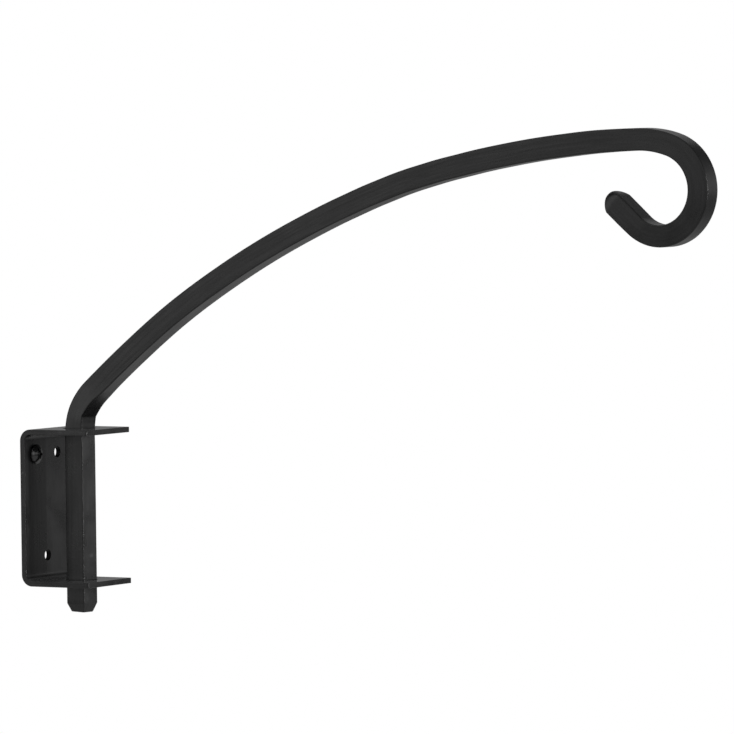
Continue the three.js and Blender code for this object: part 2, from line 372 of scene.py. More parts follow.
def wall_bracket():
    """The strip with its five holes, made flat with rounded rims and then bent."""
    rim = OUTLINE_RIM_RADIUS
    length = STRIP_RUNS[-1]
    bar_hole = EAR_LENGTH - BAR_AXIS_X
    bar_radius = BAR_HOLE_RADIUS + BAR_HOLE_RIM_RADIUS
    screw_radius = SCREW_HOLE_RADIUS + SCREW_HOLE_RIM_RADIUS
    upper = STRIP_RUNS[2] + UPPER_HOLE_DROP - OUTSIDE_RADIUS
    lower = STRIP_RUNS[3] - (LOWER_HOLE_RISE - OUTSIDE_RADIUS)
    screw_y = (SCREW_LOW[1] + SCREW_HIGH[1]) / 2
    holes = [
        (bar_hole - rim, 0.0, bar_radius, BAR_HOLE_SQUARE),
        (length - bar_hole - rim, 0.0, bar_radius, BAR_HOLE_SQUARE),
        (upper - rim, screw_y, screw_radius, SCREW_HOLE_SQUARE),
        (upper - rim, -screw_y, screw_radius, SCREW_HOLE_SQUARE),
        (lower - rim, 0.0, screw_radius, SCREW_HOLE_SQUARE),
    ]
    points, quads, outline, loops = flat_sheet(
        length - 2 * rim, HALF_WIDTH - rim, holes, EAR_CORNER_RADIUS - rim)
    points = points + np.array([rim, 0.0])
    hole_rims = [BAR_HOLE_RIM_RADIUS] * 2 + [SCREW_HOLE_RIM_RADIUS] * 3
    rims = [(outline, 1, rim), *((loop, -1, radius) for loop, radius in zip(loops, hole_rims))]
    flat, faces, edge, bore = thick_sheet(points, quads, rims, STRIP_THICKNESS)
    bent = bent_strip(*flat.T)
    return make_piece("bent_strip_bracket", bent, outward(bent, [faces]), "bracket", "wall_bracket",
                      "powder_coated_steel", edge=edge, bore=bore, run=flat * MM)


# Arm

def bar_runs():
    """The bar's runs from the foot to the tip, as lengths and curvatures of its centre line. An arc of
    radius r from heading a to heading b reaches r (cos a - cos b) further out. The sweep's radius brings the
    middle of the curl to the hook's reach. The elbow starts where its inside rests on the upper hole's rim,
    but for the seat's clearance."""
    headings = np.radians(np.cumsum([0, ELBOW_ANGLE, SWEEP_ANGLE, SHOULDER_ANGLE, CROWN_ANGLE, CURL_ANGLE]))
    cosine = np.cos(headings)
    others = (ELBOW_RADIUS * (1 - cosine[1]) + SHOULDER_RADIUS * (cosine[2] - cosine[3])
              + CROWN_RADIUS * (cosine[3] - cosine[4]) + CURL_RADIUS * cosine[4])
    sweep_radius = (HOOK_REACH - BAR_AXIS_X - others) / (cosine[1] - cosine[2])
    corner = CORNER_REACH / np.sqrt(2)
    shift = np.sqrt((BAR_HOLE_RADIUS - SEAT_CLEARANCE) ** 2 - corner ** 2) - corner
    inner = ELBOW_RADIUS - HALF_BAR
    seat_depth = np.sqrt(inner ** 2 - (inner - shift) ** 2)
    radii = np.array([ELBOW_RADIUS, sweep_radius, SHOULDER_RADIUS, CROWN_RADIUS, CURL_RADIUS])
    straight = FOOT_BELOW_BRACKET + 2 * HALF_HEIGHT - seat_depth
    lengths = np.array([straight, *(radii * np.diff(headings)), TIP_LENGTH])
    return lengths, np.array([0.0, *(1 / radii), 0.0])


def run_offset(length, curvature, heading):
    """How far a run of curvature k goes, as (x, z). From heading a to heading b that is
    (cos a - cos b, sin b - sin a) / k, and on a straight run length * (sin a, cos a)."""
    straight = np.abs(curvature) < TINY
    k = np.where(straight, 1.0, curvature)
    end = heading + k * length
    x = np.where(straight, length * np.sin(heading), (np.cos(heading) - np.cos(end)) / k)
    z = np.where(straight, length * np.cos(heading), (np.sin(end) - np.sin(heading)) / k)
    return np.stack([x, z], axis=-1)


def bar_line(distances):
    """Centre line points (x, z) and headings at these distances from the foot. The heading is 0 straight up
    and grows as the bar bends out and over. On a run of curvature k that starts at heading h, a further
    length t gives heading h + k t, and the place moves by the integral of (sin, cos) of it."""
    lengths, curvatures = bar_runs()
    starts = np.concatenate([[0.0], np.cumsum(lengths)[:-1]])
    place, heading = np.array([BAR_AXIS_X, ARM_LOW[2]]), 0.0
    states = []
    for length, curvature in zip(lengths, curvatures):
        states.append((*place, heading))
        place = place + run_offset(length, curvature, heading)
        heading += length * curvature
    run = np.clip(np.searchsorted(starts, distances, side="right") - 1, 0, len(starts) - 1)
    states = np.array(states)[run]
    t = distances - starts[run]
    offset = run_offset(t, curvatures[run], states[:, 2])
    return states[:, :2] + offset, states[:, 2] + curvatures[run] * t


def eased(table, distances):
    """A table's value at these distances. Between two marks the share t of the way is eased as
    t * t * (3 - 2 t)."""
    marks, shifts = table.T
    gap = np.clip(np.searchsorted(marks, distances) - 1, 0, len(marks) - 2)
    t = np.clip((distances - marks[gap]) / (marks[gap + 1] - marks[gap]), 0, 1)
    return shifts[gap] + (shifts[gap + 1] - shifts[gap]) * t * t * (3 - 2 * t)


def rounded_square(flat_steps, corner_steps):
    """A rounded square as corner shares (-1 to 1) and unit normals, so that a point is
    (half - radius) * share + radius * normal, a quarter of the way round for each side."""
    flat = np.linspace(-1, 1, flat_steps + 1)
    turn = np.linspace(0, np.pi / 2, corner_steps + 1)[1:-1]
    shares = np.concatenate([np.stack([np.ones_like(flat), flat], 1), np.ones((len(turn), 2))])
    side_normals = np.tile([1.0, 0.0], (len(flat), 1))
    normals = np.concatenate([side_normals, np.stack([np.cos(turn), np.sin(turn)], 1)])
    quarter = np.arange(4) * np.pi / 2
    spin = np.stack([np.stack([np.cos(quarter), -np.sin(quarter)], 1),
                     np.stack([np.sin(quarter), np.cos(quarter)], 1)], 1)
    return (np.einsum("qij,nj->qni", spin, shares).reshape(-1, 2),
            np.einsum("qij,nj->qni", spin, normals).reshape(-1, 2))


def foot_stations():
    """Distances from the foot, half sides and edge radii: across the sawn end, round its narrow rim as a
    quarter circle, and up the drawn-down sides in a straight line."""
    half_end = HALF_BAR - TAPER_INSET
    turn = np.linspace(0, np.pi / 2, FOOT_STEPS + 1)
    share = np.linspace(0, 1, FOOT_STEPS + 1)[1:]
    face = (half_end - FOOT_RIM_RADIUS) * FOOT_FACE_SHARES
    rim = half_end - FOOT_RIM_RADIUS * (1 - np.sin(turn))
    half = np.concatenate([face, rim, half_end + TAPER_INSET * share])
    distance = np.concatenate([0 * face, FOOT_RIM_RADIUS * (1 - np.cos(turn)),
                               FOOT_RIM_RADIUS + (TAPER_LENGTH - FOOT_RIM_RADIUS) * share])
    return distance, half, np.minimum(BAR_EDGE_RADIUS, half / 2)


def nose_stations(end):
    """Distances, half sides and edge radii along the tip's nose, a quarter of an ellipse seen from any side.
    Its four edges widen into one another towards the small flat in the middle of the end."""
    turn = np.linspace(0, np.pi / 2, NOSE_STEPS + 1)
    half = NOSE_END_HALF + (HALF_BAR - NOSE_END_HALF) * np.cos(turn)
    radius = BAR_EDGE_RADIUS * np.cos(turn) + NOSE_EDGE_SHARE * half * np.sin(turn)
    face = NOSE_END_HALF * NOSE_FACE_SHARES
    distance = end - NOSE_LENGTH * (1 - np.sin(turn))
    return (np.concatenate([distance, end + 0 * face]), np.concatenate([half, face]),
            np.concatenate([radius, NOSE_EDGE_SHARE * face]))


def plain_stations(start, end):
    """Distances of the sections of full size, closer together where the bar is bent more."""
    lengths, curvatures = bar_runs()
    bent_steps = np.where(curvatures < BEND_CURVATURE, SWEEP_STEP, BEND_STEP)
    steps = np.where(curvatures == 0, STRAIGHT_STEP, bent_steps)
    starts = np.concatenate([[0.0], np.cumsum(lengths)])
    runs = [np.linspace(a, b, int(np.ceil((b - a) / step)) + 1)
            for a, b, step in zip(starts[:-1], starts[1:], steps)]
    distances = np.unique(np.concatenate(runs).round(6))
    return distances[(distances > start + STATION_GAP) & (distances < end - STATION_GAP)]


def bar_sections(total):
    """Every section from the foot to the nose as columns of distances, half sides and edge radii. The coat
    adds its thickness to the half side, less where the section is narrower, and widens the edges in step."""
    plain = plain_stations(TAPER_LENGTH, total - NOSE_LENGTH)
    middle = plain, np.full(len(plain), HALF_BAR), np.full(len(plain), BAR_EDGE_RADIUS)
    stations = foot_stations(), middle, nose_stations(total)
    distance, half, radius = (np.concatenate(parts)[:, None] for parts in zip(*stations))
    coat = eased(COAT_BUILD, distance) * half / HALF_BAR
    return distance, half + coat, radius + coat * radius / BAR_EDGE_RADIUS


def hanger_arm():
    """One rounded square section carried along the bar's centre line from the foot to the nose. In a bend of
    curvature k the section is thinned by 1 - thinning * k, and its width at a height h towards the outside
    is changed by 1 - swell * k * h. Then it is pressed in on the elbow's inside, twisted about the centre
    line, and moved out by the hand-bent shift. The foot is sawn out of square, a bit higher at the wall."""
    total = bar_runs()[0].sum()
    distance, half, radius = bar_sections(total)
    centre, heading = bar_line(distance[:, 0])
    ahead, behind = (bar_line(distance[:, 0] + reach)[1] for reach in (BEND_BLEND, -BEND_BLEND))
    curvature = ((ahead - behind) / (2 * BEND_BLEND))[:, None]
    shares, normals = rounded_square(SIDE_STEPS, CORNER_STEPS)
    across, height = np.moveaxis((half - radius)[..., None] * shares + radius[..., None] * normals, -1, 0)
    height = height * (1 - BEND_THINNING * curvature)
    across = across * (1 - BEND_SWELL * curvature * height)
    height = height + np.interp(distance, *PRESSED_IN.T) * np.clip(-height / HALF_BAR, 0, 1)
    twist = np.radians(eased(HAND_TWIST, distance))
    height, across = (height * np.cos(twist) - across * np.sin(twist),
                      across * np.cos(twist) + height * np.sin(twist))
    wall_share = np.clip(0.5 + height / (2 * (HALF_BAR - TAPER_INSET)), 0, 1)
    lift = FOOT_SAW_RISE * wall_share * np.clip(1 - distance / TAPER_LENGTH, 0, 1)
    outside = height + eased(HAND_BENT, distance)
    sine, cosine = np.sin(heading)[:, None], np.cos(heading)[:, None]
    x = centre[:, :1] - outside * cosine + lift * sine
    z = centre[:, 1:] + outside * sine + lift * cosine
    first_pole = (centre[0, 0], 0, centre[0, 1] + FOOT_SAW_RISE / 2)
    last_pole = (centre[-1, 0], 0, centre[-1, 1])
    points, faces = closed_tube(np.stack([x, across, z], axis=-1), first_pole, last_pole)
    corner = (np.abs(normals).max(axis=1) < 1 - TINY) * np.minimum(1, BAR_EDGE_RADIUS / radius)
    on_rim = (distance > 0) & (distance < FOOT_RIM_RADIUS)
    edge = np.where(on_rim, 1.0, corner)
    run = np.stack([distance + 0 * across, across, height], axis=-1).reshape(-1, 3)
    run = np.concatenate([run, [[0, 0, 0], [total, 0, 0]]])
    return make_piece("square_bar_arm", points, faces, "arm", "hanger_arm", "powder_coated_steel",
                      edge=np.append(edge.ravel(), [0, 0]), run=run * MM)


# Screw

def slot_depth(along, across):
    """1 inside one slot of the recess, falling to 0 over its leaning ends and sides."""
    ends = np.clip((RECESS_SPAN / 2 - np.abs(along)) / RECESS_END_LEAN, 0, 1)
    sides = np.clip((RECESS_WIDTH / 2 - np.abs(across)) / RECESS_SIDE_LEAN, 0, 1)
    return np.minimum(ends, sides)


def screw_head(angle, head_radius):
    """The head's rings as heights over the plate and radii, from the middle of the dome to the neck. The
    dome is the cap of a sphere of radius R: at radius r it stands sqrt(R * R - r * r) over the sphere's
    centre. Its edge is a quarter circle, and both slots of the recess are cut into the dome."""
    rise = HEAD_HEIGHT - HEAD_RIM_HEIGHT
    sphere = (head_radius ** 2 + rise ** 2) / (2 * rise)
    dome_end = head_radius - HEAD_EDGE_RADIUS
    r_recess = np.linspace(INNERMOST_RING, RECESS_REACH, RECESS_RINGS)
    r_dome = np.concatenate([r_recess, np.linspace(RECESS_REACH, dome_end, DOME_RINGS)[1:]])
    dome = HEAD_HEIGHT - sphere + np.sqrt(sphere ** 2 - r_dome ** 2)
    across, upright = r_dome[:, None] * np.cos(angle), r_dome[:, None] * np.sin(angle)
    recess = np.maximum(slot_depth(across, upright), slot_depth(upright, across))
    turn = np.linspace(0, np.pi / 2, HEAD_EDGE_RINGS)[1:]
    edge_x = dome[-1] - HEAD_EDGE_RADIUS * (1 - np.cos(turn))
    edge_r = dome_end + HEAD_EDGE_RADIUS * np.sin(turn)
    below_x = np.concatenate([edge_x, UNDER_HEAD[:, 0], [0.0]])
    x = np.concatenate([dome[:, None] - RECESS_DEPTH * recess, below_x[:, None] + 0 * angle])
    r = np.concatenate([r_dome, edge_r, head_radius - UNDER_HEAD[:, 1], [SHANK_RADIUS + NECK_FILLET]])
    return x, r[:, None] + 0 * angle


def screw_shank(angle, length):
    """The shank's rings as depths under the head and radii: a plain neck and a thread, whose crest is a
    triangle wave of depth / pitch - angle / turn and fades in and out at its ends, and a blunt tip."""
    depth = np.linspace(0, length - TIP_RUN, THREAD_RINGS)[:, None]
    phase = (depth / THREAD_PITCH - angle / (2 * np.pi)) % 1
    crest = np.clip(1 - THREAD_NARROWNESS * np.abs(phase - 0.5), 0, 1)
    fade_in = np.clip((depth - PLAIN_NECK) / THREAD_PITCH, 0, 1)
    fade_out = np.clip((length - depth) / THREAD_FADE, 0, 1)
    radius = SHANK_RADIUS - THREAD_DEPTH * (1 - crest * fade_in * fade_out) * np.clip(depth / NECK_RUN, 0, 1)
    tip_back, tip_radius = BLUNT_TIP[:, :1], BLUNT_TIP[:, 1:]
    rings = np.concatenate([depth, length - tip_back])
    return rings + 0 * angle, np.concatenate([radius, tip_radius + 0 * angle])


def mounting_screw():
    """The screw, head and shank in one stack of rings: each point is at (x, r cos angle, r sin angle)."""
    centre_y, centre_z = (SCREW_LOW[1:] + SCREW_HIGH[1:]) / 2
    seat = SCREW_HIGH[0] - HEAD_HEIGHT
    angle = np.linspace(0, 2 * np.pi, POINTS_ROUND_SCREW, endpoint=False)
    head_x, head_r = screw_head(angle, (SCREW_HIGH[1] - SCREW_LOW[1]) / 2)
    depth, shank_r = screw_shank(angle, seat - SCREW_LOW[0])
    x = np.concatenate([seat + head_x, seat - depth])
    r = np.concatenate([head_r, shank_r])
    rings = np.stack([x, centre_y + r * np.cos(angle), centre_z + r * np.sin(angle)], axis=-1)
    middle = (rings[0, :, 0].mean(), centre_y, centre_z)
    points, faces = closed_tube(rings, middle, (SCREW_LOW[0], centre_y, centre_z))
    return make_piece("cross_recess_screw", points, faces, "bracket", "mounting_screw", "black_screw_steel")


# Shader nodes

def feed(tree, socket, value):
    """Links a socket to another, or sets it to a plain value."""
    if isinstance(value, bpy.types.NodeSocket):
        tree.links.new(value, socket)
    else:
        socket.default_value = value


def maths(tree, operation, *values):
    """The result of a Math node on sockets or numbers."""
    made = tree.nodes.new("ShaderNodeMath")
    made.operation = operation
    for socket, value in zip(made.inputs, values):
        feed(tree, socket, value)
    return made.outputs[0]


def vector_maths(tree, operation, *values):
    """A Vector Math node on sockets or vectors."""
    made = tree.nodes.new("ShaderNodeVectorMath")
    made.operation = operation
    for socket, value in zip(made.inputs, values):
        feed(tree, socket, value)
    return made


def ranged(tree, value, start, end, low=0.0, high=1.0, kind="SMOOTHSTEP"):
    """A socket that goes from low to high while value goes from start to end."""
    made = tree.nodes.new("ShaderNodeMapRange")
    made.interpolation_type = kind
    labels = ("Value", "From Min", "From Max", "To Min", "To Max")
    for label, given in zip(labels, (value, start, end, low, high)):
        feed(tree, made.inputs[label], given)
    return made.outputs["Result"]


def noise(tree, place, scale, detail=2.0, roughness=0.5):
    """A noise value from 0 to 1 over a place socket."""
    made = tree.nodes.new("ShaderNodeTexNoise")
    made.inputs["Detail"].default_value = detail
    made.inputs["Roughness"].default_value = roughness
    feed(tree, made.inputs["Vector"], place)
    feed(tree, made.inputs["Scale"], scale)
    return made.outputs["Fac"]


# Where a Mix node keeps its share and two colours, and its mixed colour. Other sockets have the same names
MIX_INPUTS, MIX_OUTPUT = (0, 6, 7), 2


def tinted(tree, share, first, second):
    """A colour that goes from first to second with share."""
    mix = tree.nodes.new("ShaderNodeMix")
    mix.data_type = "RGBA"
    for place, value in zip(MIX_INPUTS, (share, first, second)):
        feed(tree, mix.inputs[place], value)
    return mix.outputs[MIX_OUTPUT]


def object_place(tree):
    """Object coordinates, in metres."""
    return tree.nodes.new("ShaderNodeTexCoord").outputs["Object"]


def mark(tree, name):
    """The outputs of an Attribute node that reads a point attribute of the piece."""
    made = tree.nodes.new("ShaderNodeAttribute")
    made.attribute_name = name
    return made.outputs


def seen_and_mirrored(tree):
    """1 for the camera's own rays, and 1 for rays that come off or through a gloss surface."""
    ray = tree.nodes.new("ShaderNodeLightPath").outputs
    return ray["Is Camera Ray"], maths(tree, "MAXIMUM", ray["Is Glossy Ray"], ray["Is Transmission Ray"])


def grey(level):
    """An opaque colour with a trace of blue."""
    return level, level, BLUE_TINT * level, 1.0


def new_group(name, inputs, output):
    """An empty shader node group. inputs gives each input's name and value, a number or a vector, and output
    the name of its one output, a number. Gives the group, its inputs by name, and the output's socket."""
    group = bpy.data.node_groups.new(name, "ShaderNodeTree")
    for label, value in inputs.items():
        kind = "NodeSocketFloat" if isinstance(value, float) else "NodeSocketVector"
        group.interface.new_socket(label, in_out="INPUT", socket_type=kind).default_value = value
    group.interface.new_socket(output, in_out="OUTPUT", socket_type="NodeSocketFloat")
    given = group.nodes.new("NodeGroupInput").outputs
    result = group.nodes.new("NodeGroupOutput").inputs[output]
    return group, given, result


def placed(tree, group, **values):
    """A group's output in a material, with these of its inputs set or linked."""
    made = tree.nodes.new("ShaderNodeGroup")
    made.node_tree = group
    for label, value in values.items():
        feed(tree, made.inputs[label.replace("_", " ").title()], value)
    return made.outputs[0]


# Finishes. Colours are levels from 0 to 1, places and depths are in metres. NOISE_SPREAD is where most
# values of a noise lie
NOISE_SPREAD = (0.3, 0.7)
BLUE_TINT = 1.03

# Rubbed edges and spots: how softly the bare stretches end, and how ragged a spot is. Each spot is a place
# and its half sizes, one on the bar's outer face and one on the plate's side
WEAR_SOFTNESS = 0.12
RUB_GRAIN, RUB_RAGGED, RUB_FADE = 1500.0, 0.8, (1.4, 0.6)
BAR_RUB = (0.031, 0.0005, -0.027), (0.002, 0.0026, 0.0017)
STRIP_RUB = (0.0015, -0.022, 0.0195), (0.0008, 0.0006, 0.0008)

# Powder coat: its colours and how much of each shows, then its roughness and what changes it
COAT_DARK, COAT_PALE = 0.003, 0.0085
CLOUD_SCALE = 60.0
FINE_STRETCH, FINE_SHARE = (45, 900, 900), 0.4
WORN_COAT, WORN_SHARE = 0.02, 0.5
RUBBED_COAT, RUBBED_SHARE = 0.08, 0.35
# A pale colour for dust specks and for a painted sheen on faces that look up. The sheen is mixed in by how
# far a face looks up and by the clouds
DUST_AND_SHEEN_COLOUR, SPECK_SHARE = 0.18, 0.3
SHEEN_UPWARD_FROM, SHEEN_CLOUD_SPREAD, SHEEN_SHARES = 0.6, (0.2, 0.8), (0.1, 0.22)
# Near black colour of the holes' walls, which are also made metallic
HOLE_WALL_COLOUR = 0.006
COAT_SMOOTH, COAT_ROUGH = 0.27, 0.41
FINE_ROUGHNESS, WORN_ROUGHNESS, SPECK_ROUGHNESS = -0.04, -0.02, 0.3

# How deep the coat's relief and the drawn streaks are, and how much smoother and flatter both look where the
# surface is seen along itself
COAT_DEPTH, DRAWN_DEPTH = 0.00004, 0.00004
GRAZING_FROM, GRAZING_SMOOTH, GRAZING_RELIEF = (0.6, 0.95), 0.35, 0.1

# Screw finish
SCREW_DARK, SCREW_PALE = 0.003, 0.006
SCREW_CLOUD_SCALE = 500.0
SCREW_SMOOTH, SCREW_ROUGH, SCREW_SPECULAR = 0.13, 0.19, 0.9
SCREW_SPECK_SHARE, SCREW_SPECK_ROUGHNESS = 0.5, 0.4
GLOSS_DEPTH = 0.00001


# Effects that the finishes share

def coat_relief_group():
    """Relief of a coat: the orange peel of the melted powder and its finer grain, as a height of 0 to 1."""
    group, given, height = new_group(
        "coat_relief", {"Peel Scale": 700.0, "Grain Scale": 2600.0, "Grain Share": 0.35}, "Height")
    place = object_place(group)
    peel = noise(group, place, given["Peel Scale"], detail=1.5)
    grain = noise(group, place, given["Grain Scale"], detail=2.0, roughness=0.6)
    unmixed = maths(group, "SUBTRACT", grain, peel)
    feed(group, height, maths(group, "MULTIPLY_ADD", unmixed, given["Grain Share"], peel))
    return group


def edge_wear_group():
    """Where the coat is rubbed on its edges: 1 in broken stretches of what Edge marks."""
    group, given, mask = new_group("edge_wear", {"Edge": 0.0, "Scale": 160.0, "Bare From": 0.56}, "Mask")
    patches = noise(group, object_place(group), given["Scale"], detail=4.0, roughness=0.65)
    bare_at = maths(group, "ADD", given["Bare From"], WEAR_SOFTNESS)
    broken = ranged(group, patches, given["Bare From"], bare_at)
    sharp = ranged(group, given["Edge"], WEAR_FROM, 1.0)
    feed(group, mask, maths(group, "MULTIPLY", broken, sharp))
    return group


def streaks_group():
    """Faint streaks along a bar or strip, from the place along, across and out of it, as 0 to 1."""
    group, given, mask = new_group("streaks", {"Run": (0, 0, 0), "Stretch": (18, 420, 420)}, "Mask")
    stretched = vector_maths(group, "MULTIPLY", given["Run"], given["Stretch"]).outputs[0]
    drawn = noise(group, stretched, 1.0, detail=3.0)
    feed(group, mask, ranged(group, drawn, *NOISE_SPREAD, kind="LINEAR"))
    return group


def dust_group():
    """Sparse specks of dust round a few points of a Voronoi pattern: 1 within half a speck's radius, falling
    to 0 at the whole of it."""
    group, given, mask = new_group("dust", {"Scale": 260.0, "Radius": 0.06, "Share": 0.25}, "Mask")
    cells = group.nodes.new("ShaderNodeTexVoronoi")
    feed(group, cells.inputs["Vector"], object_place(group))
    feed(group, cells.inputs["Scale"], given["Scale"])
    inner = maths(group, "DIVIDE", given["Radius"], 2.0)
    speck = ranged(group, cells.outputs["Distance"], given["Radius"], inner)
    chosen = maths(group, "LESS_THAN", cells.outputs["Color"], given["Share"])
    feed(group, mask, maths(group, "MULTIPLY", speck, chosen))
    return group


def rubbed_spot_group():
    """One rubbed place: 1 at its centre, broken by noise, and 0 outside its half sizes."""
    group, given, mask = new_group("rubbed_spot", {"Centre": (0, 0, 0), "Half Size": (1, 1, 1)}, "Mask")
    place = object_place(group)
    from_centre = vector_maths(group, "SUBTRACT", place, given["Centre"]).outputs[0]
    shares = vector_maths(group, "DIVIDE", from_centre, given["Half Size"]).outputs[0]
    reach = vector_maths(group, "LENGTH", shares).outputs["Value"]
    ragged = maths(group, "MULTIPLY_ADD", noise(group, place, RUB_GRAIN), RUB_RAGGED, reach)
    feed(group, mask, ranged(group, ragged, *RUB_FADE))
    return group


def finish(name):
    """A new material, its node tree and the inputs of its surface shader."""
    material = bpy.data.materials.new(name)
    material.use_nodes = True
    return material, material.node_tree, material.node_tree.nodes["Principled BSDF"].inputs


def bumped(tree, height, depth, strength=1.0, normal=None):
    """A normal bent by a height of this depth in metres, on top of another normal where one is given."""
    bump = tree.nodes.new("ShaderNodeBump")
    feed(tree, bump.inputs["Height"], height)
    feed(tree, bump.inputs["Strength"], strength)
    bump.inputs["Distance"].default_value = depth
    if normal is not None:
        feed(tree, bump.inputs["Normal"], normal)
    return bump.outputs["Normal"]


def powder_coat(relief, wear, streaks, dust, spot):
    """Satin black powder coat: near black and slightly cloudy with fine streaks along the piece, paler on
    rubbed edges and on two rubbed spots, with a painted sheen, pale as dust, on what faces up and a few dust
    specks elsewhere. The walls of the drilled holes are near black and metallic."""
    material, tree, surface = finish("satin_black_powder_coat")
    cloud = noise(tree, object_place(tree), CLOUD_SCALE, detail=4.0, roughness=0.6)
    run = mark(tree, "run")["Vector"]
    drawn = placed(tree, streaks, run=run)
    fine = placed(tree, streaks, run=run, stretch=FINE_STRETCH)
    worn = placed(tree, wear, edge=mark(tree, "edge")["Fac"])
    bore = mark(tree, "bore")["Fac"]
    specks = placed(tree, dust)
    rubs = [placed(tree, spot, centre=centre, half_size=half) for centre, half in (BAR_RUB, STRIP_RUB)]
    rubbed = maths(tree, "MAXIMUM", *rubs)

    shade = maths(tree, "MULTIPLY_ADD", fine, FINE_SHARE, maths(tree, "MULTIPLY", cloud, 1 - FINE_SHARE))
    shade = ranged(tree, shade, *NOISE_SPREAD, kind="LINEAR")
    # Painted sheen: faces that look up are made paler, like dust, by a share that follows the clouds
    sheen_upward = ranged(tree, mark(tree, "upward")["Fac"], SHEEN_UPWARD_FROM, 1.0)
    colour = tinted(tree, shade, grey(COAT_DARK), grey(COAT_PALE))
    for share, level in (
        (maths(tree, "MULTIPLY", worn, WORN_SHARE), WORN_COAT),
        (maths(tree, "MULTIPLY", rubbed, RUBBED_SHARE), RUBBED_COAT),
        (maths(tree, "MULTIPLY", sheen_upward, ranged(tree, cloud, *SHEEN_CLOUD_SPREAD, *SHEEN_SHARES)), DUST_AND_SHEEN_COLOUR),
        (maths(tree, "MULTIPLY", specks, SPECK_SHARE), DUST_AND_SHEEN_COLOUR),
        (bore, HOLE_WALL_COLOUR),
    ):
        colour = tinted(tree, share, colour, grey(level))
    feed(tree, surface["Base Color"], colour)
    feed(tree, surface["Metallic"], bore)

    facing = tree.nodes.new("ShaderNodeLayerWeight").outputs["Facing"]
    rough = ranged(tree, cloud, *NOISE_SPREAD, COAT_SMOOTH, COAT_ROUGH)
    rough = maths(tree, "MULTIPLY_ADD", fine, FINE_ROUGHNESS, rough)
    rough = maths(tree, "MULTIPLY_ADD", worn, WORN_ROUGHNESS, rough)
    rough = maths(tree, "MULTIPLY", rough, ranged(tree, facing, *GRAZING_FROM, 1.0, GRAZING_SMOOTH))
    feed(tree, surface["Roughness"], maths(tree, "MULTIPLY_ADD", specks, SPECK_ROUGHNESS, rough))
    strength = ranged(tree, facing, *GRAZING_FROM, 1.0, GRAZING_RELIEF)
    drawn = bumped(tree, drawn, DRAWN_DEPTH, strength)
    feed(tree, surface["Normal"], bumped(tree, placed(tree, relief), COAT_DEPTH, strength, drawn))
    return material


def gloss_black(relief, dust):
    """The screw's glossy black finish, with a slight unevenness and a little dust."""
    material, tree, surface = finish("gloss_black_screw")
    cloud = noise(tree, object_place(tree), SCREW_CLOUD_SCALE, detail=3.0)
    specks = placed(tree, dust, scale=600.0, share=0.12)
    colour = tinted(tree, cloud, grey(SCREW_DARK), grey(SCREW_PALE))
    dusted = maths(tree, "MULTIPLY", specks, SCREW_SPECK_SHARE)
    feed(tree, surface["Base Color"], tinted(tree, dusted, colour, grey(DUST_AND_SHEEN_COLOUR)))
    surface["Specular IOR Level"].default_value = SCREW_SPECULAR
    rough = ranged(tree, cloud, *NOISE_SPREAD, SCREW_SMOOTH, SCREW_ROUGH)
    feed(tree, surface["Roughness"], maths(tree, "MULTIPLY_ADD", specks, SCREW_SPECK_ROUGHNESS, rough))
    feed(tree, surface["Normal"], bumped(tree, placed(tree, relief, peel_scale=900.0), GLOSS_DEPTH))
    return material


# Light. A strength of 1 is white. The fill lights the surfaces, the other three are what gloss mirrors. The
# backdrop lies the way of BACKDROP_WAY, and the band at the horizon fades between two heights in degrees
FILL_LEVEL = 0.78
BACKDROP_LEVEL = 0.21
ROOM_LEVEL = 0.61
FLOOR_LEVEL = 0.17
BACKDROP_WAY = (-0.516, 0.857, 0.0)
BACKDROP_FADE = (0.2, 0.8)
HORIZON_FADE = (7.0, 28.0)
OVERHEAD_SHARE = 0.15

# Lamps, seen from the middle of the hanger: azimuth from +X towards +Y and elevation in degrees, distance,
# width and height in metres, and power in watts
LAMP_TARGET = (0.1, 0.0, 0.05)
LAMPS = {
    "strip_light": (23.75, 0, 2.731, 0.12, 1.6, 32.0),
    "left_softbox": (228, 24, 1.2, 0.9, 1.5, 1.7),
    "front_softbox": (323, 3, 1.5, 0.7, 1.2, 1.2),
    "back_softbox": (100, 38, 1.5, 0.8, 0.8, 0.3),
    "high_softbox": (270, 55, 1.2, 1.8, 0.9, 2.4),
}

# Stage, in metres
FLOOR_CENTRE = (0.2, 0.0, -0.25)
FLOOR_RADII = np.array([0.5, 1.0, 2.0, 4.0, 8.0])
FLOOR_PAINT, MIRRORED_PAINT = 0.8, 0.42
WHITE_FROM = (0.5, 1.25)


